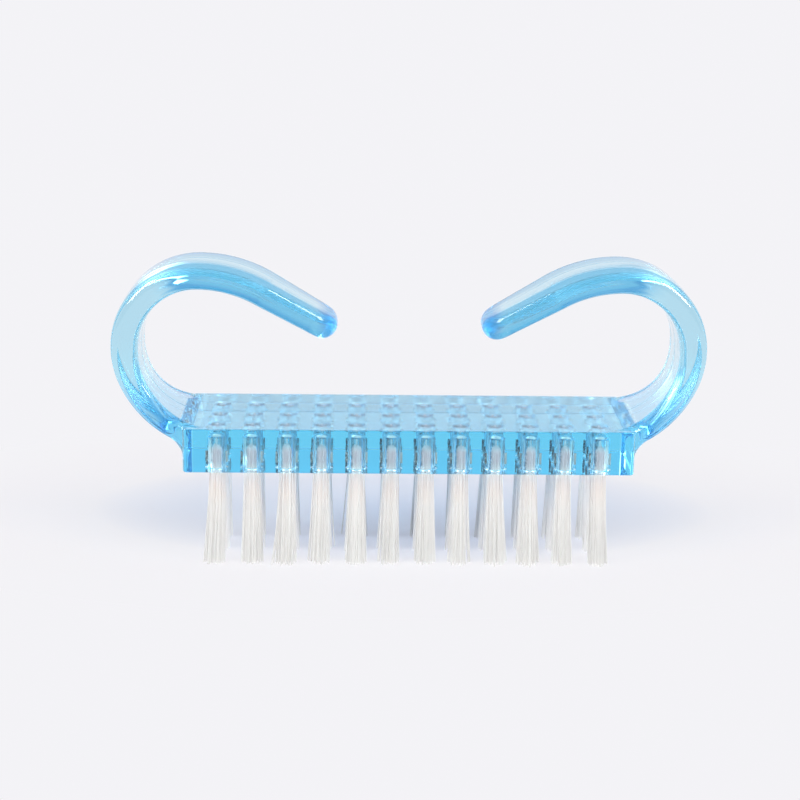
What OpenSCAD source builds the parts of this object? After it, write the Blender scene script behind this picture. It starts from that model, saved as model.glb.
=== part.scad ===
// Nail brush with a curled finger handle at each end of the bristle block.
// X runs along the brush, Y from front to back, Z up. The bristle tips stand on Z = 0.

/* [Bristle block] */
// Distance between neighbouring tufts along the brush
column_pitch = 3.8; // [3.2:0.1:4.6]
// Distance between neighbouring rows of tufts
row_pitch = 3.8; // [3.2:0.1:4.6]
// Plastic from the centre of an end tuft to the end of the block
end_margin = 3.55; // [3:0.05:5]
// Plastic from the centre of an outer row to the side of the block
side_margin = 3.2; // [2.6:0.1:5]
// Thickness of the block
block_thickness = 4.9; // [4.2:0.1:7]
// Rounding of the block's upright corners
corner_radius = 0.5; // [0.2:0.1:1]

/* [Tuft holes] */
// Diameter of a tuft hole
hole_diameter = 2; // [1.7:0.1:2.4]
// Plastic left between the blind end of a hole and the top of the block
hole_roof = 0.9; // [0.5:0.1:1.3]

/* [Handles] */
// How far a handle reaches beyond the end of the block
handle_reach = 7.85; // [6.5:0.05:10]
// Height of the crown of a handle above the table
handle_height = 33.6; // [31:0.1:40]
// Thickness of a handle at its side and crown
handle_thickness = 2.94; // [2.2:0.02:3.5]
// Thickness of a handle where it leaves the block
root_thickness = 2.42; // [2.2:0.02:3.5]
// Thickness of a handle at its tip
tip_thickness = 2.8; // [2:0.02:2.9]
// Width of a handle, front to back
handle_width = 8.1; // [6:0.1:11]
// Width of a handle near its tip
tip_width = 7; // [5:0.1:8]
// Gap between the two handle tips
tip_gap = 15.8; // [12:0.1:20]
// Inner radius of the bend that rises from the block
root_radius = 7.45; // [6.5:0.05:8.5]
// Inner radius of the curl at the outermost point
curl_radius = 6.4; // [5.5:0.1:7.5]
// Inner radius of the crown, where the handle turns down
crown_radius = 12.75; // [10:0.05:15]
// Slope of the straight stretch that ends in the tip
slope_angle = 30.3; // [24:0.1:34]
// Rounding of the long edges of a handle at its root and at the side of its curl
edge_radius = 0.9; // [0.4:0.1:1.1]
// Rounding of the long edges of a handle over its crown and its slope
slope_edge_radius = 1.36; // [0.6:0.02:1.38]
// Turn of the curl over which the rounding grows from the one to the other, in degrees
rounding_turn = 70; // [30:5:110]
// Rounding of the tip, seen from above
tip_radius = 3; // [1:0.1:3.2]
// Radius of the hollow corner between a handle and the end of the block
web_radius = 2.5; // [1:0.1:3]

/* [Tufts] */
// Length of the bristles below the block
bristle_length = 11.4; // [9:0.1:16]
// Height of a tuft's folded end above the underside of the block
fold_height = 2.6; // [2.3:0.1:3]
// Gap between the corners of a tuft's packed end and the wall of its hole
tuft_clearance = 0.05; // [0.02:0.01:0.1]
// Length of the packed bundle that shows below the block
bundle_proud = 0.2; // [0.1:0.05:0.5]
// Width of one strand
strand_width = 0.38; // [0.25:0.01:0.42]
// Depth to which a strand is rooted in its bundle
strand_root = 0.5; // [0.3:0.05:0.6]
// Depth of the outermost strands inside the bundle's skin
strand_inset = 0.06; // [0.05:0.01:0.1]
// Length that is cut off the strands to level their tips
tip_trim = 0.5; // [0.2:0.1:1]

/* [Anchors] */
// Thickness of the flat anchor wire
anchor_thickness = 0.3; // [0.2:0.05:0.4]
// Height of the anchor wire
anchor_height = 1.3; // [1:0.1:1.4]
// Depth to which each end of an anchor bites into the wall of its hole
anchor_bite = 0.2; // [0.1:0.05:0.35]
// Gap between an anchor and what it touches
anchor_clearance = 0.02; // [0.01:0.01:0.04]
// Thickness of the bristle fold that lies over an anchor
fold_cover = 0.7; // [0.5:0.05:0.8]

/* [Hidden] */
COLUMNS = 12;
ROW_NAMES = ["front", "middle", "back"];
function two_digits(n) = n < 10 ? str("0", n) : str(n);
function tuft_name(row, column) = str("tuft_", ROW_NAMES[row], "_", two_digits(column + 1));
$fn = 48;

BODY_COLOUR = [0.45, 0.78, 0.93, 0.75];
BRISTLE_COLOUR = [0.94, 0.94, 0.95];
ANCHOR_COLOUR = [0.75, 0.74, 0.7];

// Distance that cuts run past the faces they open
overrun = 0.5;
// Depth to which faces that are fused together reach into each other
weld = 0.05;

// Block, with its underside at the height of the free bristles
underside = bristle_length;
block_top = underside + block_thickness;
block_length = (COLUMNS - 1) * column_pitch + 2 * end_margin;
block_width = 2 * row_pitch + 2 * side_margin;
hole_depth = block_thickness - hole_roof;
function column_x(column) = (column - (COLUMNS - 1) / 2) * column_pitch;
function row_y(row) = (row - 1) * row_pitch;

// Left handle, drawn by its inner face in the XZ plane. A bend is given by its centre, and a
// place on it by the angle of the outward normal: 270 at the block, 180 at the side, 90 at the
// crown.
inner_side_x = -(block_length / 2 + handle_reach - handle_thickness);
root_centre = [inner_side_x + root_radius, block_top + root_radius];
curl_centre = [inner_side_x + curl_radius, handle_height - handle_thickness - curl_radius];
crown_centre = [curl_centre.x, handle_height - handle_thickness - crown_radius];
slope_normal = 90 - slope_angle;
function heading(angle) = [cos(angle), sin(angle)];
function blend(a, b, share) = a + (b - a) * share;

// The handle starts inside the block, this far from its end
root_sink = 2.2;
start_x = -(block_length / 2 - root_sink);
start_turn = asin(max(0, (root_centre.x - start_x) / root_radius));

// Hollow corner under the root: a circle that touches the end of the block and the handle
root_outer_radius = root_radius + root_thickness;
web_reach = block_length / 2 + web_radius + root_centre.x;
web_drop = sqrt(pow(root_outer_radius + web_radius, 2) - pow(web_reach, 2));
web_normal = 270 - atan(web_reach / web_drop);
function web_distance(angle) =
    let (along = web_reach * -cos(angle) + web_drop * -sin(angle),
         inside = pow(web_radius, 2) + pow(along, 2) - pow(web_reach, 2) - pow(web_drop, 2))
    inside > 0 ? along - sqrt(inside) : web_drop / -sin(angle);
function root_depth(angle) =
    angle > web_normal
    ? web_distance(angle) - root_radius
    : blend(handle_thickness, root_thickness, (angle - 180) / (web_normal - 180));

// The handle flares out to the full width of the block over the last stretch of the root
flare_start = 200;
flare_end = 262;
function root_half_width(angle) =
    let (share = min(1, max(0, (angle - flare_start) / (flare_end - flare_start))))
    blend(handle_width / 2, block_width / 2 - weld, 1 - cos(90 * share));

// A station is [inner point, normal, depth, half width, inset from the inner face]
function bend_station(centre, radius, angle, depth, half_width) =
    [centre + radius * heading(angle), angle, depth, half_width, 0];

WEB_STEPS = 7;
BEND_STEPS = 12;
CROWN_STEPS = 5;
SLOPE_STEPS = 3;
TIP_STEPS = 6;
start_normal = 270 - start_turn;
web_stations = [
    for (i = [1:WEB_STEPS])
        let (angle = blend(start_normal, web_normal, i / WEB_STEPS))
        bend_station(root_centre, root_radius, angle, root_depth(angle), root_half_width(angle))
];
rise_stations = [
    for (i = [1:BEND_STEPS])
        let (angle = blend(web_normal, 180, i / BEND_STEPS))
        bend_station(root_centre, root_radius, angle, root_depth(angle), root_half_width(angle))
];
curl_stations = [
    for (i = [0:BEND_STEPS])
        let (angle = blend(180, 90, i / BEND_STEPS))
        bend_station(curl_centre, curl_radius, angle, handle_thickness, handle_width / 2)
];
crown_stations = [
    for (i = [1:CROWN_STEPS])
        let (angle = blend(90, slope_normal, i / CROWN_STEPS))
        bend_station(crown_centre, crown_radius, angle, handle_thickness, handle_width / 2)
];

// Straight slope. Its outer face keeps the slope angle while its inner face draws in towards
// the tip, which ends in a half round.
slope_heading = [cos(slope_angle), -sin(slope_angle)];
slope_start = crown_centre + crown_radius * heading(slope_normal);
tip_half_depth = tip_thickness / 2;
tip_centre_x = -tip_gap / 2 - tip_half_depth;
slope_centre_x = slope_start.x + (handle_thickness - tip_half_depth) * cos(slope_normal);
slope_length = (tip_centre_x - slope_centre_x) / slope_heading.x + tip_half_depth;
function half_round(radius, from_end) =
    from_end >= radius ? radius : sqrt(pow(radius, 2) - pow(radius - from_end, 2));
function slope_station(from_end) =
    let (share = 1 - max(0, from_end - tip_radius) / (slope_length - tip_radius),
         full_depth = blend(handle_thickness, tip_thickness, share),
         depth = full_depth - 2 * (tip_half_depth - half_round(tip_half_depth, from_end)),
         half_width = blend(handle_width, tip_width, share) / 2)
    [slope_start + (slope_length - from_end) * slope_heading, slope_normal, depth,
     half_width - tip_radius + half_round(tip_radius, from_end),
     handle_thickness - (full_depth + depth) / 2];
slope_stations = [
    for (i = [1:SLOPE_STEPS]) slope_station(blend(slope_length, tip_radius, i / SLOPE_STEPS))
];
// The last ring stays a little short of the end, so that it keeps an area
last_turn = 81;
tip_stations = [
    for (i = [1:TIP_STEPS]) slope_station(tip_radius * (1 - sin(last_turn * i / TIP_STEPS)))
];
sunk_station = [[start_x, block_top - weld], 270, web_drop - root_radius - weld,
                block_width / 2 - weld, 0];
handle_stations = concat([sunk_station], web_stations, rise_stations, curl_stations,
                         crown_stations, slope_stations, tip_stations);

// Section of a handle: a rectangle with rounded corners, as points [depth, width]. The corners
// grow rounder as the outward normal turns from the side of the curl towards the crown.
CORNER_STEPS = 3;
function rounding(normal) =
    blend(edge_radius, slope_edge_radius, min(1, max(0, (180 - normal) / rounding_turn)));
function section(normal, depth, half_width) =
    let (r = min(rounding(normal), depth / 2, half_width))
    [for (corner = [0:3]) for (i = [0:CORNER_STEPS])
        let (angle = 90 * (corner + i / CORNER_STEPS),
             side = (corner == 0 || corner == 3) ? 1 : -1,
             face = corner < 2 ? 1 : -1)
        [depth / 2 + side * (depth / 2 - r) + r * cos(angle),
         face * (half_width - r) + r * sin(angle)]];
function ring(station) =
    let (normal = heading(station[1]))
    [for (p = section(station[1], station[2], station[3]))
        [station[0].x + (p.x + station[4]) * normal.x, p.y,
         station[0].y + (p.x + station[4]) * normal.y]];

// Triangles of a tube through rings of equal size, closed at both ends. Seen along the tube
// from its first ring to its last, the points of a ring run anticlockwise.
function tube_faces(rings, size) = concat(
    [for (i = [0:rings - 2]) for (j = [0:size - 1])
        [i * size + j, (i + 1) * size + (j + 1) % size, (i + 1) * size + j]],
    [for (i = [0:rings - 2]) for (j = [0:size - 1])
        [i * size + j, i * size + (j + 1) % size, (i + 1) * size + (j + 1) % size]],
    [for (j = [1:size - 2]) [0, j + 1, j]],
    [for (j = [1:size - 2]) [0, j, j + 1] + [1, 1, 1] * (rings - 1) * size]
);

module handle() {
    rings = [for (station = handle_stations) ring(station)];
    polyhedron(points = [for (r = rings) each r], faces = tube_faces(len(rings), len(rings[0])));
}

module block() {
    translate([0, 0, underside])
        linear_extrude(height = block_thickness)
            rounded_rectangle(block_length, block_width, corner_radius);
}

module rounded_rectangle(length, width, radius) {
    square([length - 2 * radius, width], center = true);
    square([length, width - 2 * radius], center = true);
    for (x = [-1, 1], y = [-1, 1])
        translate([x * (length / 2 - radius), y * (width / 2 - radius)])
            circle(r = radius);
}

// Anchor: a flat wire that lies across its hole along the row, with a bite at each end
anchor_top = underside + fold_height - fold_cover;
anchor_bottom = anchor_top - anchor_height;
anchor_length = hole_diameter + 2 * anchor_bite;
module anchor(gap = 0) {
    translate([-anchor_length / 2 - gap, -anchor_thickness / 2 - gap, anchor_bottom - gap])
        cube([anchor_length + 2 * gap, anchor_thickness + 2 * gap, anchor_height + 2 * gap]);
}

// Groove that the two ends of an anchor cut on their way up the hole
module anchor_groove() {
    groove_height = anchor_top + anchor_clearance - underside + overrun;
    translate([-anchor_length / 2 - anchor_clearance,
               -anchor_thickness / 2 - anchor_clearance, underside - overrun])
        cube([anchor_length + 2 * anchor_clearance, anchor_thickness + 2 * anchor_clearance,
              groove_height]);
}

module brush_body() {
    color(BODY_COLOUR)
        difference() {
            union() {
                block();
                handle();
                mirror([1, 0, 0]) handle();
            }
            for (row = [0:2], column = [0:COLUMNS - 1])
                translate([column_x(column), row_y(row), 0]) {
                    translate([0, 0, underside - overrun])
                        cylinder(d = hole_diameter, h = hole_depth + overrun);
                    anchor_groove();
                }
        }
}

// Packed bundle of a tuft: an upright column in its hole, chamfered at its top where the
// filaments fold over the anchor
BUNDLE_SIDES = 8;
fold_chamfer_share = 0.6;
bundle_radius = hole_diameter / 2 - tuft_clearance;
bundle_half_width = bundle_radius * cos(180 / BUNDLE_SIDES);
bundle_bottom = underside - bundle_proud;
fold_top = underside + fold_height;
module bundle() {
    outside = bundle_radius + overrun;
    fold_half_width = bundle_radius * (1 - fold_chamfer_share);
    shoulder = fold_top + fold_half_width - outside;
    difference() {
        intersection() {
            translate([0, 0, bundle_bottom])
                rotate([0, 0, 180 / BUNDLE_SIDES])
                    cylinder(r = bundle_radius, h = fold_height + bundle_proud + overrun,
                             $fn = BUNDLE_SIDES);
            rotate([90, 0, 90])
                linear_extrude(height = 2 * outside, center = true)
                    polygon([[-outside, bundle_bottom - overrun],
                             [outside, bundle_bottom - overrun],
                             [outside, shoulder], [fold_half_width, fold_top],
                             [-fold_half_width, fold_top], [-outside, shoulder]]);
        }
        anchor(anchor_clearance);
    }
}

// Strands of a tuft: an inner ring of 3 and an outer ring of 9. Each is rooted upright in the
// bundle, leans outward below it, and is cut level at the table.
INNER_STRANDS = 3;
OUTER_STRANDS = 9;
outer_strand_radius = bundle_half_width - strand_width / 2 - strand_inset;
inner_strand_share = 0.36;
inner_strand_radius = outer_strand_radius * inner_strand_share;
// Growth of a tuft's radius from the block to the untrimmed tips
splay_share = 1.75;
// Lean of the two end columns and of the outer rows, as a share of the bristle length
end_lean_share = 0.03;
side_lean_share = 0.02;
// Small uneven lean of each tuft, as a share of the bristle length
uneven_lean_share = 0.018;
SIDES = 3;
strand_top = bundle_bottom + strand_root;
function tuft_lean(row, column) =
    bristle_length * [
        end_lean_share * column_x(column) / column_x(COLUMNS - 1)
            + uneven_lean_share * sin(97 * column + 61 * row),
        side_lean_share * (row - 1) + uneven_lean_share * cos(83 * column + 37 * row)];
function strand_ring(centre, height, turn) = [
    for (i = [0:SIDES - 1])
        let (angle = turn + 360 * i / SIDES)
        [centre.x + strand_width / 2 * cos(angle), centre.y + strand_width / 2 * sin(angle), height]
];

module strand(foot, lean, turn) {
    cut_share = bundle_bottom / (bundle_bottom + tip_trim);
    end = blend(foot, foot * splay_share + lean, cut_share);
    points = concat(strand_ring(foot, strand_top, turn),
                    strand_ring(foot, bundle_bottom, turn),
                    strand_ring(end, 0, turn));
    polyhedron(points = points, faces = tube_faces(3, SIDES));
}

module tuft(row, column) {
    turn = 47 * column + 29 * row;
    lean = tuft_lean(row, column);
    color(BRISTLE_COLOUR)
        translate([column_x(column), row_y(row), 0]) {
            bundle();
            for (i = [0:INNER_STRANDS - 1])
                let (angle = turn + 360 * i / INNER_STRANDS)
                    strand(inner_strand_radius * heading(angle), lean, angle);
            for (i = [0:OUTER_STRANDS - 1])
                let (angle = turn + 360 * i / OUTER_STRANDS)
                    strand(outer_strand_radius * heading(angle), lean, angle);
        }
}

module anchors(row) {
    color(ANCHOR_COLOUR)
        for (column = [0:COLUMNS - 1])
            translate([column_x(column), row_y(row), 0])
                anchor();
}

brush_body();
for (row = [0:2], column = [0:COLUMNS - 1])
    tuft(row, column);
anchors(0);  // anchors_front
anchors(1);  // anchors_middle
anchors(2);  // anchors_back
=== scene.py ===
from math import asin, atan, cos, degrees, pi, radians, sin, sqrt
from random import Random

import bmesh
import bpy
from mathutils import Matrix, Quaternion, Vector


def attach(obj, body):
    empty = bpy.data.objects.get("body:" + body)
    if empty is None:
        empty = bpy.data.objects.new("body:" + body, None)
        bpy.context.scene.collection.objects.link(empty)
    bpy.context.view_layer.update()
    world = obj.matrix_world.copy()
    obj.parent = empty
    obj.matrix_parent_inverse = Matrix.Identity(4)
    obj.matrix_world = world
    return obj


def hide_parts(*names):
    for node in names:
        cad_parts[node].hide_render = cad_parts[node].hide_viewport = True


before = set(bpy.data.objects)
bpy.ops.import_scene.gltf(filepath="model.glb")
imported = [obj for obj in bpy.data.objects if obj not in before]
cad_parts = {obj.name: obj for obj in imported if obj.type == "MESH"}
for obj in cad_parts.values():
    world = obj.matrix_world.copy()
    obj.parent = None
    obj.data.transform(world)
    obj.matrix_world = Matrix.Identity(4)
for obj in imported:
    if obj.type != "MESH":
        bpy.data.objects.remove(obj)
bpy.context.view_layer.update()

scene = bpy.context.scene
mm = 0.001


# ---- Brush body -------------------------------------------------------------------------
# One clear blue polystyrene moulding: a block that carries the bristles, with a finger handle
# that curls up and over from each end. The tuft holes are blind and open downwards, and the
# mould leaves a fine parting line along the middle of the handles and of the block's top.
block_length, block_width = 48.9, 14.0
underside, block_top = 11.4, 16.3
upright_rounding, edge_break = 0.5, 0.14
hole_radius, hole_end, pin_sides = 1.0, 15.4, 32
rows, columns = ("front", "middle", "back"), 12
row_pitch, column_pitch = 3.8, 3.8
handle_reach, handle_height = 7.85, 33.6
handle_thickness, root_thickness, tip_thickness = 2.94, 2.42, 2.8
handle_width, tip_width, tip_gap = 8.1, 7.0, 15.8
root_radius, curl_radius, crown_radius = 7.45, 6.4, 12.75
root_overlap, root_sink = 2.35, 0.05
flare_start, flare_turn = 200, 62
slope_turn, tip_radius, tip_turn, web_radius = 30.3, 3.0, 87, 2.5
edge_radius, slope_edge_radius, rounding_turn = 0.9, 1.36, 70
root_steps, curl_steps, crown_steps, slope_steps, tip_steps = 84, 130, 64, 30, 24
edge_steps = 14
groove_length, groove_width, groove_end = 2.44, 0.34, 13.32
seam_half_width, seam_height, seam_end, seam_full_width = 0.07, 0.022, 2.2, 1.5
weld, sharp_turn = 0.0005, 32

inner_side = -(block_length / 2 + handle_reach - handle_thickness)
root_centre = (inner_side + root_radius, block_top + root_radius)
curl_centre = (inner_side + curl_radius, handle_height - handle_thickness - curl_radius)
crown_centre = (curl_centre[0], handle_height - handle_thickness - crown_radius)
web_reach = block_length / 2 + web_radius + root_centre[0]
web_drop = sqrt((root_radius + root_thickness + web_radius) ** 2 - web_reach ** 2)
web_turn = 270 - degrees(atan(web_reach / web_drop))
hole_places = [((column - (columns - 1) / 2) * column_pitch, (row - 1) * row_pitch)
               for row in range(len(rows)) for column in range(columns)]


def between(a, b, share):
    return a + (b - a) * share


def heading(turn):
    return cos(radians(turn)), sin(radians(turn))


def on_bend(centre, radius, turn):
    x, z = heading(turn)
    return centre[0] + radius * x, centre[1] + radius * z


def root_depth(turn):
    """Thickness of the root, whose lower side runs into the hollow corner at the block's end."""
    if turn <= web_turn:
        return between(handle_thickness, root_thickness, (turn - 180) / (web_turn - 180))
    x, z = heading(turn)
    along = web_reach * -x + web_drop * -z
    inside = web_radius ** 2 + along ** 2 - web_reach ** 2 - web_drop ** 2
    return (along - sqrt(inside) if inside > 0 else web_drop / -z) - root_radius


def root_half_width(turn):
    """The handle flares to the width of the block over the last stretch of its root."""
    share = min(1.0, max(0.0, (turn - flare_start) / flare_turn))
    return between(handle_width / 2, block_width / 2 - root_sink, 1 - cos(pi / 2 * share))


def half_round(radius, from_end):
    return radius if from_end >= radius else sqrt(radius ** 2 - (radius - from_end) ** 2)


def handle_stations():
    """Stations of the left handle from the block to the tip: inner point, turn of the outward
    normal, depth, half width, and how far the section is set in from the inner face."""
    first = 270 - degrees(asin((root_centre[0] + block_length / 2 - root_overlap) / root_radius))
    made = [((root_centre[0] - root_radius * cos(radians(first + 180)), block_top - root_sink),
             270, web_drop - root_radius - root_sink, block_width / 2 - root_sink, 0)]
    for i in range(root_steps + 1):
        turn = between(first, 180, i / root_steps)
        made.append((on_bend(root_centre, root_radius, turn), turn, root_depth(turn),
                     root_half_width(turn), 0))
    slope_normal = 90 - slope_turn
    for centre, radius, start, end, steps in (
            (curl_centre, curl_radius, 180, 90, curl_steps),
            (crown_centre, crown_radius, 90, slope_normal, crown_steps)):
        for i in range(1, steps + 1):
            turn = between(start, end, i / steps)
            made.append((on_bend(centre, radius, turn), turn, handle_thickness,
                         handle_width / 2, 0))
    slope_start = on_bend(crown_centre, crown_radius, slope_normal)
    along = (cos(radians(slope_turn)), -sin(radians(slope_turn)))
    half_tip = tip_thickness / 2
    centre_x = slope_start[0] + (handle_thickness - half_tip) * cos(radians(slope_normal))
    length = (-tip_gap / 2 - half_tip - centre_x) / along[0] + half_tip

    def slope_station(from_end):
        share = 1 - max(0.0, from_end - tip_radius) / (length - tip_radius)
        full = between(handle_thickness, tip_thickness, share)
        depth = full - 2 * (half_tip - half_round(half_tip, from_end))
        half = between(handle_width, tip_width, share) / 2
        half += half_round(tip_radius, from_end) - tip_radius
        place = (slope_start[0] + (length - from_end) * along[0],
                 slope_start[1] + (length - from_end) * along[1])
        return place, slope_normal, depth, half, handle_thickness - (full + depth) / 2

    made += [slope_station(between(length, tip_radius, i / slope_steps))
             for i in range(1, slope_steps + 1)]
    made += [slope_station(tip_radius * (1 - sin(radians(tip_turn * i / tip_steps))))
             for i in range(1, tip_steps + 1)]
    return made


def handle_section(turn, depth, half_width):
    """A rectangle with round corners, as (depth, width) points, with the parting line standing
    proud of the middle of its outer and its inner face. Over the curl the corners grow rounder."""
    share = min(1.0, max(0.0, (180 - turn) / rounding_turn))
    r = min(between(edge_radius, slope_edge_radius, share), depth / 2, half_width)
    fine = min(1.0, half_width / seam_full_width)
    points = []
    for corner in range(4):
        side = 1 if corner in (0, 3) else -1
        face = 1 if corner < 2 else -1
        for i in range(edge_steps + 1):
            angle = radians(90 * (corner + i / edge_steps))
            points.append((depth / 2 + side * (depth / 2 - r) + r * cos(angle),
                           face * (half_width - r) + r * sin(angle)))
        if corner in (1, 3):
            out = -1 if corner == 1 else 1
            for across in (-2, -1, 0, 1, 2):
                proud = 0 if across else seam_height * fine
                points.append(((depth if corner == 3 else 0) + out * proud,
                               out * across * seam_half_width * fine))
    return points


def skin(made, rings):
    """Faces between rings of vertices, and one over each end."""
    for a, b in zip(rings, rings[1:]):
        for j in range(len(a)):
            k = (j + 1) % len(a)
            made.faces.new((a[j], a[k], b[k], b[j]))
    made.faces.new(rings[0])
    made.faces.new(rings[-1])


def closed_mesh(made, name):
    """The mesh of a closed shape, with its faces turned outwards."""
    bmesh.ops.recalc_face_normals(made, faces=made.faces)
    mesh = bpy.data.meshes.new(name)
    made.to_mesh(mesh)
    made.free()
    return mesh


def handle_mesh(mirrored):
    """One handle, the left one or its mirror image, as a tube through its stations."""
    made = bmesh.new()
    rings = []
    for place, turn, depth, half_width, inset in handle_stations():
        nx, nz = heading(turn)
        ring = []
        for d, w in handle_section(turn, depth, half_width):
            x = (place[0] + (d + inset) * nx) * (-1 if mirrored else 1)
            ring.append(made.verts.new((x * mm, w * mm, (place[1] + (d + inset) * nz) * mm)))
        rings.append(ring)
    skin(made, rings)
    return closed_mesh(made, "handle")


def block_mesh():
    """The block, with its upright corners rounded and its other edges just broken."""
    made = bmesh.new()
    bmesh.ops.create_cube(made, size=1)
    size = Vector((block_length, block_width, block_top - underside)) * mm
    bmesh.ops.scale(made, vec=size, verts=made.verts)
    bmesh.ops.translate(made, vec=(0, 0, (block_top + underside) / 2 * mm), verts=made.verts)
    upright = [e for e in made.edges
               if abs(e.verts[0].co.z - e.verts[1].co.z) > 1 * mm]
    bmesh.ops.bevel(made, geom=upright, offset=upright_rounding * mm, segments=6, profile=0.5,
                    affect="EDGES")
    level = [e for e in made.edges if abs(e.verts[0].co.z - e.verts[1].co.z) < 1e-7
             and len(e.link_faces) == 2 and e.calc_face_angle() > 1]
    bmesh.ops.bevel(made, geom=level, offset=edge_break * mm, segments=3, profile=0.5,
                    affect="EDGES")
    return closed_mesh(made, "block")


def seam_mesh():
    """The parting line along the block's top, a low ridge rooted in the block."""
    made = bmesh.new()
    half = block_length / 2 - seam_end
    skin(made, [[made.verts.new((x * mm, y * mm, z * mm)) for y, z in (
        (-seam_half_width, block_top - 0.02), (-seam_half_width, block_top + 0.001),
        (0, block_top + seam_height), (seam_half_width, block_top + 0.001),
        (seam_half_width, block_top - 0.02))] for x in (-half, half)])
    return closed_mesh(made, "seam")


def feed(value, socket):
    """Links a socket to where its value comes from, or sets it to a plain value."""
    if isinstance(value, bpy.types.NodeSocket):
        socket.id_data.links.new(value, socket)
    else:
        socket.default_value = value


def fed(made, inputs):
    for key, value in inputs.items():
        feed(value, made.inputs[key])
    return made


def hole_pin_mesh():
    """The core pin that forms a blind tuft hole, with a little draft and a broken mouth."""
    made = bmesh.new()
    profile = ((hole_radius + 0.16, underside - 0.4), (hole_radius + 0.16, underside - 0.02),
               (hole_radius, underside + 0.1), (hole_radius - 0.02, hole_end - 0.5),
               (hole_radius - 0.06, hole_end - 0.36), (hole_radius - 0.2, hole_end - 0.24),
               (hole_radius - 0.42, hole_end - 0.13), (hole_radius - 0.7, hole_end - 0.05),
               (hole_radius - 0.9, hole_end))
    skin(made, [[made.verts.new((r * cos(2 * pi * j / pin_sides) * mm,
                                 r * sin(2 * pi * j / pin_sides) * mm, z * mm))
                 for j in range(pin_sides)] for r, z in profile])
    return closed_mesh(made, "hole_pin")


def hole_pins_tree():
    """Sets a core pin at every place of the grid. The pins only cut, so they get no material."""
    tree = bpy.data.node_groups.new("hole_pins", "GeometryNodeTree")
    tree.interface.new_socket("Geometry", in_out="OUTPUT", socket_type="NodeSocketGeometry")
    for name, kind, value in (
            ("Columns", "NodeSocketInt", columns), ("Rows", "NodeSocketInt", len(rows)),
            ("Column Pitch", "NodeSocketFloat", column_pitch * mm),
            ("Row Pitch", "NodeSocketFloat", row_pitch * mm)):
        tree.interface.new_socket(name, in_out="INPUT", socket_type=kind).default_value = value
    tree.interface.new_socket("Pin", in_out="INPUT", socket_type="NodeSocketObject")
    given = tree.nodes.new("NodeGroupInput").outputs
    grid = tree.nodes.new("GeometryNodeMeshGrid")
    for axis, count, pitch in (("X", "Columns", "Column Pitch"), ("Y", "Rows", "Row Pitch")):
        gaps, length = [tree.nodes.new("ShaderNodeMath") for i in range(2)]
        gaps.operation, length.operation = "SUBTRACT", "MULTIPLY"
        fed(gaps, {0: given[count], 1: 1.0})
        fed(length, {0: gaps.outputs[0], 1: given[pitch]})
        fed(grid, {"Vertices " + axis: given[count], "Size " + axis: length.outputs[0]})
    pin = fed(tree.nodes.new("GeometryNodeObjectInfo"), {"Object": given["Pin"]})
    pins = fed(tree.nodes.new("GeometryNodeInstanceOnPoints"), {
        "Points": grid.outputs["Mesh"], "Instance": pin.outputs["Geometry"]})
    real = fed(tree.nodes.new("GeometryNodeRealizeInstances"), {0: pins.outputs[0]})
    fed(tree.nodes.new("NodeGroupOutput"), {0: real.outputs[0]})
    return tree


def grooves_mesh():
    """The torn grooves that the two ends of each anchor cut up the wall of their hole."""
    made = bmesh.new()
    play = Random(5)
    for x0, y0 in hole_places:
        rings = []
        for z in (underside - 0.4, underside + 0.02, underside + 0.3, underside + 0.62,
                  underside + 1.0, underside + 1.4, underside + 1.7, groove_end):
            half_x = groove_length / 2 * play.uniform(0.97, 1.03)
            half_y = groove_width / 2 * play.uniform(0.9, 1.3)
            rings.append([made.verts.new(((x0 + x) * mm, (y0 + y) * mm, z * mm))
                          for x, y in ((-half_x, -half_y), (half_x, -half_y),
                                       (half_x, half_y), (-half_x, half_y))])
        skin(made, rings)
    return closed_mesh(made, "grooves")


def placed(name, data):
    made = bpy.data.objects.new(name, data)
    scene.collection.objects.link(made)
    return made


def input_names(tree):
    """The identifier of each named input of a tree, which its modifier is set by."""
    return {s.name: s.identifier for s in tree.interface.items_tree if s.in_out == "INPUT"}


def finished(made, keep_name):
    """The piece with its modifiers made real in its own mesh."""
    bpy.context.view_layer.update()
    ready = made.evaluated_get(bpy.context.evaluated_depsgraph_get())
    mesh = bpy.data.meshes.new_from_object(ready)
    made.modifiers.clear()
    made.data = mesh
    mesh.name = keep_name


hole_pins = placed("hole_pins", bpy.data.meshes.new("hole_pins"))
hole_pin = placed("hole_pin", hole_pin_mesh())
grow = hole_pins.modifiers.new("hole_pins", "NODES")
grow.node_group = hole_pins_tree()
grow[input_names(grow.node_group)["Pin"]] = hole_pin
finished(hole_pins, "hole_pins")

body = placed("clear_body", block_mesh())
tools = [hole_pin]
for operation, mesh in (("UNION", handle_mesh(False)), ("UNION", handle_mesh(True)),
                        ("UNION", seam_mesh()), ("DIFFERENCE", hole_pins.data),
                        ("DIFFERENCE", grooves_mesh())):
    tool = placed("tool", mesh)
    cut = body.modifiers.new("cut", "BOOLEAN")
    cut.operation, cut.solver, cut.object = operation, "EXACT", tool
    tools.append(tool)
finished(body, "clear_body")
for tool in tools + [hole_pins]:
    bpy.data.objects.remove(tool)

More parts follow.
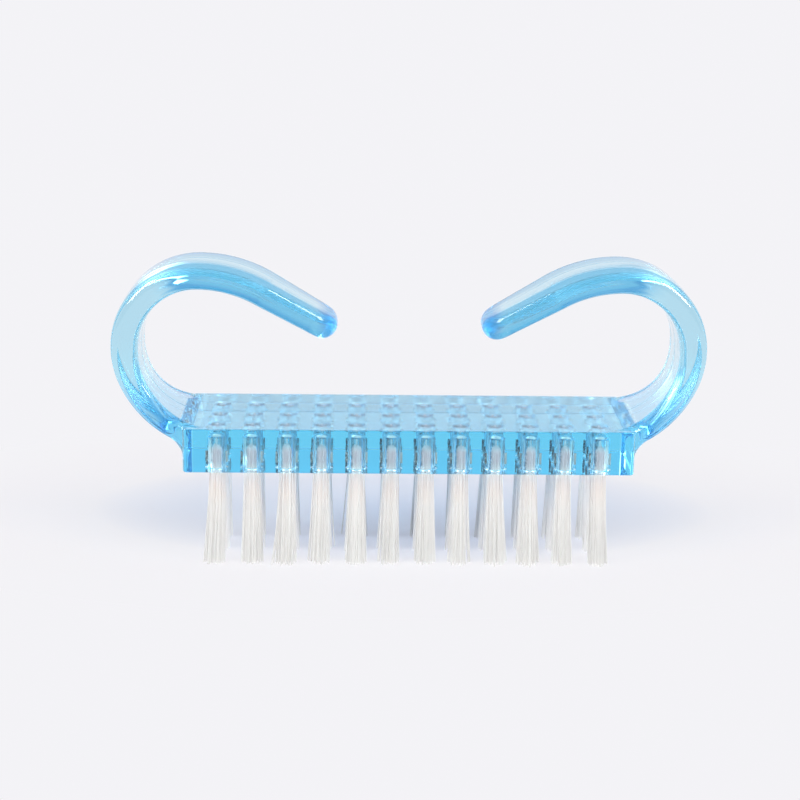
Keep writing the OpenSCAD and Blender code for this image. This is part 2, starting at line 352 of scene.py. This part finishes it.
welded = bmesh.new()
welded.from_mesh(body.data)
bmesh.ops.remove_doubles(welded, verts=welded.verts, dist=weld * mm)
bmesh.ops.dissolve_degenerate(welded, edges=welded.edges, dist=weld * mm)
wall_layer = welded.faces.layers.float.new("hole_wall")
for face in welded.faces:
    centre = face.calc_center_median() / mm
    column = round(centre.x / column_pitch + (columns - 1) / 2)
    row = round(centre.y / row_pitch)
    near = abs(row) <= 1 and 0 <= column < columns
    off = Vector((centre.x - (column - (columns - 1) / 2) * column_pitch,
                  centre.y - row * row_pitch)).length
    face[wall_layer] = float(near and off < groove_length / 2 + 0.06
                             and underside + 0.2 < centre.z < hole_end + 0.02)
    face.smooth = True
welded.to_mesh(body.data)
welded.free()
body.data.set_sharp_from_angle(angle=radians(sharp_turn))
level_out = body.modifiers.new("level_out", "WEIGHTED_NORMAL")
level_out.keep_sharp = True
level_out.weight = 70
finished(body, "clear_body")


def new_material(name):
    made = bpy.data.materials.new(name)
    made.use_nodes = True
    return made, made.node_tree.nodes


def node(kind, inputs=None, **settings):
    """A node of the material in hand, with its settings and its inputs by name or number."""
    made = nodes.new(kind)
    for key, value in settings.items():
        setattr(made, key, value)
    return fed(made, inputs or {})


def combine(operation, *values):
    return node("ShaderNodeMath", dict(enumerate(values)), operation=operation).outputs[0]


def both(a, b):
    return combine("MULTIPLY", a, b)


def scaled(value, start, full, low=0.0, high=1.0, **settings):
    """A value that runs from low at the start to high at the full measure."""
    return node("ShaderNodeMapRange", {
        "Value": value, "From Min": start, "From Max": full, "To Min": low, "To Max": high,
    }, **settings).outputs["Result"]


def zone(value, start, full):
    """A mask that rises softly from 0 at the first size to 1 at the second, in millimetres."""
    return scaled(value, start * mm, full * mm, interpolation_type="SMOOTHSTEP")


def ramp(value, first, last, *others):
    """Colours for a value, each stop given as its place and its colour."""
    made = node("ShaderNodeValToRGB", {"Fac": value})
    stops = made.color_ramp.elements
    for stop, (place, colour) in zip(stops, (first, last)):
        stop.position, stop.color = place, (*colour, 1)
    for place, colour in others:
        stops.new(place).color = (*colour, 1)
    return made.outputs["Color"]


def times(a, b, share=1.0):
    """One colour multiplied by another, by the share given."""
    return node("ShaderNodeMix", {0: share, 6: a, 7: b}, data_type="RGBA",
                blend_type="MULTIPLY").outputs[2]


def noise(place, scale, detail):
    return node("ShaderNodeTexNoise", {
        "Vector": place, "Scale": scale, "Detail": detail}).outputs["Fac"]


def shown(share, one, other, end="Material Output"):
    """Ends in one shader with a share of the other."""
    mixed = node("ShaderNodeMixShader", {0: share, 1: one, 2: other})
    feed(mixed.outputs["Shader"], nodes[end].inputs["Surface"])


def shown_clear(surface, rays, colour):
    """Ends in a clear surface that light passes on its way to other places, tinted."""
    passed = node("ShaderNodeBsdfTransparent", {"Color": colour})
    shown(rays["Is Shadow Ray"], surface.outputs["BSDF"], passed.outputs["BSDF"])


clear_blue, nodes = new_material("clear_blue_polystyrene")
polish, frost = 0.02, 0.16
plastic = fed(nodes["Principled BSDF"], {
    "Roughness": polish, "IOR": 1.57, "Transmission Weight": 1})
dye = node("ShaderNodeVolumeAbsorption", {"Color": (0.03, 0.80, 0.997, 1), "Density": 88})
feed(dye.outputs["Volume"], nodes["Material Output"].inputs["Volume"])
place = node("ShaderNodeTexCoord").outputs["Object"]
axes = node("ShaderNodeSeparateXYZ", {0: place}).outputs
sideways, inwards, up = combine("ABSOLUTE", axes["X"]), axes["Y"], axes["Z"]
wall = node("ShaderNodeAttribute", attribute_name="hole_wall").outputs["Fac"]
rays = node("ShaderNodeLightPath").outputs

# Faces of the block, from just inside the skin, and stretches of the handles
skin_depth, skin_end = 0.03, 0.04
in_length = zone(sideways, block_length / 2 + 0.02, block_length / 2)
back_face = both(in_length, zone(inwards, block_width / 2 - skin_end,
                                 block_width / 2 - skin_depth))
front_face = both(in_length, zone(inwards, skin_end - block_width / 2,
                                  skin_depth - block_width / 2))
foot_face = both(in_length, zone(up, underside + skin_end, underside + skin_depth))
top_face = combine("COMPARE", up, block_top * mm, skin_depth * mm)
upper_front = both(front_face, zone(up, 13.8, 14.6))
slope = both(zone(sideways, 28.5, 25.5), zone(up, 20.0, 20.5))
slope_back = both(slope, zone(inwards, 2.2, 3.2))
tip = both(slope, zone(sideways, 10.4, 8.8))
off_block = zone(sideways, 24.5, 25.2)
root = both(off_block, zone(up, 22.0, 17.0))
low_curl = both(off_block, zone(up, 28.0, 23.0))
curl = both(zone(sideways, 25.5, 28.5), zone(up, 20.0, 25.0))
handle = zone(up, block_top + 0.1, block_top + 0.3)

# Painted in the holes: a darker ring at the blind end, which is painted shade, and dark speckles
# on the left of each hole's wall, which are a painted dark reflection
end_shade_ring = both(zone(up, hole_end - 0.55, hole_end - 0.45),
                zone(up, hole_end - 0.08, hole_end - 0.16))
in_column = combine("WRAP", axes["X"], column_pitch * mm, 0)
speckle_noise = scaled(noise(place, 5000, 2), 0.44, 0.54, interpolation_type="SMOOTHSTEP")
painted_dark_reflection = both(both(wall, zone(in_column, 1.62, 1.3)), speckle_noise)

# Painted shade: the plastic is one dye, but its colour is painted deeper by place, on the block's
# back, foot and upper front faces, the far flank of each slope, the tips, the roots and the curls,
# standing in for the shade seen through the plastic there
painted_shade_blues = times(ramp(back_face, (0, (1, 1, 1)), (1, (0.42, 0.83, 1))),
              ramp(foot_face, (0, (1, 1, 1)), (1, (0.56, 0.85, 1))))
for mask, colour in ((slope_back, (0.27, 0.53, 0.76)), (tip, (0.12, 0.42, 0.80)),
                     (root, (0.78, 0.88, 1)), (curl, (1, 0.92, 0.925)),
                     (both(end_shade_ring, wall), (0.2, 0.34, 0.48)),
                     (upper_front, (0.46, 0.94, 1)), (painted_dark_reflection, (0.06, 0.085, 0.10))):
    painted_shade_blues = times(painted_shade_blues, ramp(mask, (0, (1, 1, 1)), (1, colour)))
feed(painted_shade_blues, plastic.inputs["Base Color"])

# The gloss is duller in the holes, on the top and at the tips, and in the handles it softens
# with each bounce of a ray, so that light caught inside them doesn't break up into glitter
caught = both(scaled(rays["Ray Depth"], 0.6, 2.6, 0, 2), handle)
dullness = wall
for part in (both(top_face, 1.3), both(low_curl, 0.4), tip, caught):
    dullness = combine("MAXIMUM", dullness, part)
feed(scaled(dullness, 0, 1, polish, frost, clamp=False), plastic.inputs["Roughness"])
flow = node("ShaderNodeBump", {
    "Strength": 0.12, "Distance": 0.03 * mm, "Height": noise(place, 160, 2)})
torn = node("ShaderNodeBump", {
    "Distance": 0.04 * mm, "Height": both(noise(place, 2000, 3), wall),
    "Normal": flow.outputs["Normal"]})
feed(torn.outputs["Normal"], plastic.inputs["Normal"])
shown_clear(plastic, rays, (0.90, 0.86, 0.92, 1))
body.data.materials.clear()
body.data.materials.append(clear_blue)
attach(body, "root")
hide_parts("brush_body")


# ---- Bristle tufts ----------------------------------------------------------------------
# Each hole holds a tuft of clear nylon filaments, folded in two over a wire anchor and driven
# in from below. Below the block the filaments stand straight and spread a little, and all are
# cut level at the tips.
def tuft_row_tree():
    golden_turn, filament_points, filament_sides, fold_share = 0.618034, 15, 4, 2 / 7
    closing_length, splay_power, shortest_cut = 0.0015, 1.25, 0.00002
    usual_share, far_stray = 0.965, 3.0
    tree = bpy.data.node_groups.new("tuft_row", "GeometryNodeTree")
    tree.interface.new_socket("Geometry", in_out="OUTPUT", socket_type="NodeSocketGeometry")
    for name, kind, value in (
            ("Columns", "NodeSocketInt", columns), ("Folded Filaments", "NodeSocketInt", 40),
            ("Column Pitch", "NodeSocketFloat", column_pitch * mm),
            ("Row Place", "NodeSocketFloat", 0.0), ("Tuft Radius", "NodeSocketFloat", 0.00088),
            ("Filament Radius", "NodeSocketFloat", 0.000082),
            ("Anchor Top", "NodeSocketFloat", 0.0133), ("Fold Rise", "NodeSocketFloat", 0.8),
            ("Anchor Side", "NodeSocketFloat", 0.00024),
            ("Anchor Foot", "NodeSocketFloat", 0.012),
            ("Block Underside", "NodeSocketFloat", underside * mm),
            ("Spread", "NodeSocketFloat", 0.36), ("Side Lean", "NodeSocketFloat", 0.0),
            ("End Lean", "NodeSocketFloat", 0.0003), ("Tuft Lean", "NodeSocketFloat", 0.00022),
            ("Stray", "NodeSocketFloat", 0.0002), ("Cut Play", "NodeSocketFloat", 0.00022),
            ("Seed", "NodeSocketInt", 1), ("Material", "NodeSocketMaterial", None)):
        socket = tree.interface.new_socket(name, in_out="INPUT", socket_type=kind)
        if value is not None:
            socket.default_value = value
    given = tree.nodes.new("NodeGroupInput").outputs

    def laid_out(kind, inputs):
        return fed(tree.nodes.new(kind), inputs)

    def math(operation, a, b=0.0, clamp=False):
        made = laid_out("ShaderNodeMath", {0: a, 1: b})
        made.operation, made.use_clamp = operation, clamp
        return made.outputs[0]

    def random(low, high, key, salt):
        made = tree.nodes.new("FunctionNodeRandomValue")
        made.data_type = "FLOAT"
        fed(made, {2: low, 3: high, "ID": key, "Seed": math("ADD", given["Seed"], salt)})
        return made.outputs[1]

    def stored(geometry, name, value):
        made = tree.nodes.new("GeometryNodeStoreNamedAttribute")
        made.data_type, made.domain = "FLOAT", "POINT"
        return fed(made, {"Name": name, "Geometry": geometry, "Value": value}).outputs["Geometry"]

    def named(name):
        made = tree.nodes.new("GeometryNodeInputNamedAttribute")
        made.data_type = "FLOAT"
        return fed(made, {"Name": name}).outputs["Attribute"]

    # Root of each folded filament: a place in half of its hole's circle
    points = laid_out("GeometryNodePoints", {
        "Count": math("MULTIPLY", given["Columns"], given["Folded Filaments"])})
    index = tree.nodes.new("GeometryNodeInputIndex").outputs[0]
    column = math("FLOOR", math("DIVIDE", math("ADD", index, 0.5), given["Folded Filaments"]))
    place = math("SUBTRACT", index, math("MULTIPLY", column, given["Folded Filaments"]))
    share = math("DIVIDE", math("ADD", place, 0.5), given["Folded Filaments"])
    reach = math("MULTIPLY", given["Tuft Radius"], math("SQRT", share))
    turn = math("ADD", math("MULTIPLY", place, golden_turn), random(0.0, 1.0, column, 11))
    turn = math("MULTIPLY", math("SUBTRACT", math("FRACT", turn), 0.5), pi)
    side = math("MAXIMUM", math("MULTIPLY", reach, math("COSINE", turn)), given["Anchor Side"])
    row_side = math("MULTIPLY", reach, math("SINE", turn))
    middle = math("DIVIDE", math("SUBTRACT", given["Columns"], 1.0), 2.0)
    from_middle = math("SUBTRACT", column, middle)
    tuft_x = math("MULTIPLY", from_middle, given["Column Pitch"])
    lean_x = math("ADD", math("MULTIPLY", math("DIVIDE", from_middle, middle),
                              given["End Lean"]),
                  math("MULTIPLY", given["Tuft Lean"], random(-1.0, 1.0, column, 12)))
    lean_y = math("ADD", given["Side Lean"],
                  math("MULTIPLY", given["Tuft Lean"], random(-1.0, 1.0, column, 13)))
    spread = math("ADD", 1.0, math("MULTIPLY", given["Spread"], random(0.6, 1.4, column, 14)))
    geometry = points.outputs[0]
    for name, value in (("side", side), ("along", row_side), ("tuft_x", tuft_x),
                        ("lean_x", lean_x), ("lean_y", lean_y), ("spread", spread),
                        ("filament", index)):
        geometry = stored(geometry, name, value)

    # One filament: up one leg, over the anchor and down the other
    strand = tree.nodes.new("GeometryNodeCurvePrimitiveLine")
    even = laid_out("GeometryNodeResampleCurve", {
        "Count": filament_points, "Curve": strand.outputs[0]})
    spread_out = laid_out("GeometryNodeInstanceOnPoints", {
        "Points": geometry, "Instance": even.outputs[0]})
    real = laid_out("GeometryNodeRealizeInstances", {0: spread_out.outputs[0]})
    along = tree.nodes.new("GeometryNodeSplineParameter").outputs["Factor"]
    across = math("SUBTRACT", math("MULTIPLY", along, 2.0), 1.0)
    leg = math("SIGN", across)
    down = math("ABSOLUTE", across)
    bend = math("MULTIPLY", math("DIVIDE", down, fold_share, clamp=True), pi / 2)
    fall = math("DIVIDE", math("SUBTRACT", down, fold_share), 1 - fold_share, clamp=True)
    leg_key = math("ADD", math("MULTIPLY", named("filament"), 2.0),
                   math("GREATER_THAN", leg, 0.0))
    cut = math("ADD", shortest_cut, math("MULTIPLY", given["Cut Play"], math(
        "POWER", random(0.0, 1.0, leg_key, 15), 3.0)))
    rise = math("MULTIPLY", math("MULTIPLY", named("side"), given["Fold Rise"]),
                math("COSINE", bend))
    height = math("SUBTRACT", math("ADD", given["Anchor Top"], rise), math(
        "MULTIPLY", fall, math("SUBTRACT", given["Anchor Top"], cut)))

    # The legs close up below the anchor, and spread, lean and stray below the block
    below = math("DIVIDE", math("SUBTRACT", given["Anchor Foot"], height), closing_length,
                 clamp=True)
    shut = math("MULTIPLY", below, math("MULTIPLY", given["Anchor Side"], math(
        "SUBTRACT", 1.0, math("DIVIDE", named("side"), given["Tuft Radius"]))))
    out = math("MULTIPLY", leg, math("MULTIPLY", math("SUBTRACT", named("side"), shut),
                                     math("SINE", bend)))
    clear = math("DIVIDE", math("SUBTRACT", given["Block Underside"], height),
                 given["Block Underside"], clamp=True)
    clear = math("POWER", clear, splay_power)
    wide = math("MULTIPLY", given["Stray"], math("ADD", 1.0, math("MULTIPLY", far_stray, math(
        "GREATER_THAN", random(0.0, 1.0, leg_key, 18), usual_share))))
    grow = math("SUBTRACT", named("spread"), 1.0)
    go_x = math("ADD", math("MULTIPLY", named("along"), grow), math("ADD", named("lean_x"), math(
        "MULTIPLY", wide, random(-1.0, 1.0, leg_key, 16))))
    go_y = math("ADD", math("MULTIPLY", out, grow), math("ADD", named("lean_y"), math(
        "MULTIPLY", wide, random(-1.0, 1.0, leg_key, 17))))
    x = math("ADD", math("ADD", named("tuft_x"), named("along")), math("MULTIPLY", clear, go_x))
    y = math("ADD", math("ADD", given["Row Place"], out), math("MULTIPLY", clear, go_y))
    where = laid_out("ShaderNodeCombineXYZ", {0: x, 1: y, 2: height})
    laid = laid_out("GeometryNodeSetPosition", {
        "Geometry": real.outputs[0], "Position": where.outputs[0]})
    tone = stored(laid.outputs[0], "tone", random(0.0, 1.0, leg_key, 19))
    profile = laid_out("GeometryNodeCurvePrimitiveCircle", {
        "Resolution": filament_sides, "Radius": given["Filament Radius"]})
    drawn = laid_out("GeometryNodeCurveToMesh", {
        "Fill Caps": True, "Curve": tone, "Profile Curve": profile.outputs[0]})
    smooth = laid_out("GeometryNodeSetShadeSmooth", {"Geometry": drawn.outputs[0]})
    solid = laid_out("GeometryNodeRealizeInstances", {0: smooth.outputs[0]})
    painted = laid_out("GeometryNodeSetMaterial", {
        "Geometry": solid.outputs[0], "Material": given["Material"]})
    laid_out("NodeGroupOutput", {0: painted.outputs[0]})
    return tree


nylon, nodes = new_material("clear_nylon")
shaded_row, lit_rows = -4.2, -1.2
fibre = fed(nodes["Principled BSDF"], {
    "Roughness": 0.38, "IOR": 1.53, "Subsurface Weight": 1, "Subsurface Radius": (1, 1, 1),
    "Subsurface Scale": 0.2 * mm})
place = node("ShaderNodeTexCoord").outputs["Object"]
axes = node("ShaderNodeSeparateXYZ", {0: place}).outputs
# Painted light and shade: the filaments are painted darker inside the holes and towards the floor,
# brighter and warmer just below the block, and the front row darker than the rows behind it; only
# the tone of each filament, which differs at random, is their own
painted_light_and_shade_by_height = ramp(scaled(axes["Z"], 0, (underside + 0.9) * mm),
                 (0.18, (0.92, 0.92, 0.91)), (1, (0.85, 0.70, 0.68)),
                 (0.54, (0.98, 0.97, 0.955)), (0.79, (1.07, 0.987, 0.92)),
                 (0.91, (1.07, 0.975, 0.90)))
painted_light_and_shade_by_row = ramp(scaled(axes["Y"], shaded_row * mm, lit_rows * mm),
              (0, (0.9, 0.9, 0.9)), (1, (1.08, 1.08, 1.08)))
by_filament = ramp(node("ShaderNodeAttribute", attribute_name="tone").outputs["Fac"],
                   (0, (0.78, 0.772, 0.762)), (1, (0.86, 0.852, 0.842)))
feed(times(by_filament, times(painted_light_and_shade_by_height, painted_light_and_shade_by_row)), fibre.inputs["Base Color"])
shown_clear(fibre, node("ShaderNodeLightPath").outputs, (0.965, 0.965, 0.97, 1))

side_lean = 0.2
row_tree = tuft_row_tree()
sockets = input_names(row_tree)
for number, row in enumerate(rows):
    tufts = placed("tufts_" + row, bpy.data.meshes.new("tufts_" + row))
    grow = tufts.modifiers.new("tufts", "NODES")
    grow.node_group = row_tree
    for name, value in (("Row Place", (number - 1) * row_pitch * mm), ("Seed", 7 * number + 3),
                        ("Side Lean", (number - 1) * side_lean * mm), ("Material", nylon)):
        grow[sockets[name]] = value
    finished(tufts, "tufts_" + row)
    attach(tufts, "root")
    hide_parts(*["tuft_%s_%02d" % (row, i + 1) for i in range(columns)])


# ---- Anchors ----------------------------------------------------------------------------
# A short piece of flat drawn wire lies across each hole and holds the fold of its tuft. Only
# its dull edge shows, through the plastic and between the filaments.
wire, nodes = new_material("drawn_wire")
metal = fed(nodes["Principled BSDF"], {"Metallic": 1, "Base Color": (0.62, 0.61, 0.58, 1)})
place = node("ShaderNodeTexCoord").outputs["Object"]
drawn = node("ShaderNodeMapping", {"Scale": (9000, 300, 9000), "Vector": place})
streaks = node("ShaderNodeTexNoise", {"Vector": drawn.outputs["Vector"]})
feed(scaled(streaks.outputs["Fac"], 0, 1, 0.25, 0.55), metal.inputs["Roughness"])
for row in rows:
    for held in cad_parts["anchors_" + row].material_slots:
        held.material = wire


# ---- Floor ------------------------------------------------------------------------------
# A plain sheet of pale paper that the brush stands on, wide enough to fill the camera's view.
# The eye sees it evenly lit, with a soft bluish shadow just behind the brush, partly its real
# shadow and partly a painted shadow in an oval.
floor_radius, shadow_back, shadow_size = 4, 14, (45, 22)
sheet_mesh = bpy.data.meshes.new("floor")
disc = bmesh.new()
bmesh.ops.create_circle(disc, cap_ends=True, segments=96, radius=floor_radius)
disc.to_mesh(sheet_mesh)
disc.free()
floor = placed("floor", sheet_mesh)
paper, nodes = new_material("pale_sheet")
pale = (0.90, 0.895, 0.925)
card = fed(nodes["Principled BSDF"], {
    "Base Color": (0.885, 0.88, 0.885, 1), "Roughness": 0.7, "Specular IOR Level": 0.2})
place = node("ShaderNodeTexCoord").outputs["Object"]
from_shadow = node("ShaderNodeVectorMath", {0: place, 1: (0, shadow_back * mm, 0)},
                   operation="SUBTRACT")
in_oval = node("ShaderNodeVectorMath", {
    0: from_shadow.outputs["Vector"], 1: (shadow_size[0] * mm, shadow_size[1] * mm, 1),
}, operation="DIVIDE")
reach = node("ShaderNodeVectorMath", {0: in_oval.outputs["Vector"]}, operation="LENGTH")
fade = scaled(reach.outputs["Value"], 0.3, 1.55, 0.34, interpolation_type="SMOOTHSTEP")
rays = node("ShaderNodeLightPath").outputs


def seen(rays):
    """1 for a ray that the eye sees, straight or in metal or glass, and 0 for lighting rays."""
    return combine("MAXIMUM", combine("MAXIMUM", rays["Is Camera Ray"], rays["Is Glossy Ray"]),
                   rays["Is Transmission Ray"])


# Seen through the plastic, the sheet shows mostly its painted colour, so its real shadow nearly
# goes there
lit = combine("MAXIMUM", fade, both(rays["Is Transmission Ray"], 0.85))
# The colour the eye sees on the sheet: plain pale far off, and a painted bluish shadow in the oval
sheet_with_painted_shadow = node("ShaderNodeEmission", {"Color": ramp(
    fade, (0.34, (0.60, 0.66, 0.88)), (1, pale), (0.6, (0.91, 0.885, 0.92)))})
shown(both(lit, seen(rays)), card.outputs["BSDF"], sheet_with_painted_shadow.outputs["Emission"])
floor.data.materials.append(paper)


# ---- Light and camera -------------------------------------------------------------------
# Soft daylight from all round, two softboxes, high on the left and on the right, and two small
# windows behind. Only the plastic shows the windows and the blue of the room above them. The
# camera stands in front, a little above the brush and left of its middle.
world = bpy.data.worlds.new("studio")
scene.world = world
world.use_nodes = True
nodes = world.node_tree.nodes
sky = fed(nodes["Background"], {"Color": (0.90, 0.90, 0.90, 1), "Strength": 0.44})
toward = node("ShaderNodeTexCoord").outputs["Generated"]
axes = node("ShaderNodeSeparateXYZ", {0: toward}).outputs
rays = node("ShaderNodeLightPath").outputs
near_side = scaled(axes["Y"], 0.0, -0.45, interpolation_type="SMOOTHSTEP")
low_down = scaled(axes["Z"], 0.85, 0.5, interpolation_type="SMOOTHSTEP")
reflected = combine("SUBTRACT", 1, rays["Is Camera Ray"])
room = ramp(both(both(near_side, low_down), reflected), (0, pale), (1, (0.26, 0.26, 0.28)))
deep_blue, light_blue = (0.33, 0.66, 0.87), (0.6, 0.92, 1)
above = ramp(scaled(axes["Z"], -1, 1), (0.50, (1, 1, 1)), (0.80, (1, 1, 1)),
             (0.55, deep_blue), (0.575, deep_blue), (0.62, light_blue), (0.70, light_blue))
backdrop = node("ShaderNodeBackground", {
    "Color": times(room, above, rays["Is Transmission Ray"]), "Strength": 1.0})
shown(seen(rays), sky.outputs["Background"], backdrop.outputs["Background"], "World Output")


def softbox(name, place, size, power):
    lamp = bpy.data.lights.new(name, "AREA")
    lamp.shape, lamp.size, lamp.size_y = "RECTANGLE", size[0], size[1]
    lamp.energy = power
    made = placed(name, lamp)
    made.location = place
    aim = Vector((0, 0, 0.018)) - Vector(place)
    made.rotation_euler = aim.to_track_quat("-Z", "Y").to_euler()
    return made


softbox("softbox_left", (-0.85, -0.50, 0.60), (0.40, 0.52), 7.6)
softbox("softbox_right", (0.85, -0.50, 0.60), (0.40, 0.52), 7.6)
for name, place, size, power in (
        ("window_left", (-0.42, 0.76, 0.28), (0.44, 0.24), 1.4),
        ("window_right", (0.40, 0.80, 0.18), (0.16, 0.10), 0.25)):
    window = softbox(name, place, size, power)
    window.visible_glossy = False
    window.visible_diffuse = False

camera_pan, camera_drop, camera_roll = -0.027568, 0.285583, 0.015894
lens = bpy.data.cameras.new("camera")
lens.sensor_width = 36
lens.lens = 77.397
lens.clip_start = 0.01
camera = placed("camera", lens)
camera.location = (-0.0059686, -0.183244, 0.0715326)
camera.rotation_mode = "QUATERNION"
camera.rotation_quaternion = (Quaternion((0, 0, 1), camera_pan)
                              @ Quaternion((1, 0, 0), pi / 2 - camera_drop)
                              @ Quaternion((0, 0, 1), camera_roll))
scene.camera = camera
scene.view_settings.view_transform = "Standard"
scene.cycles.max_bounces = 28
scene.cycles.diffuse_bounces = 12
scene.cycles.transmission_bounces = 28
scene.cycles.transparent_max_bounces = 32
scene.cycles.glossy_bounces = 12
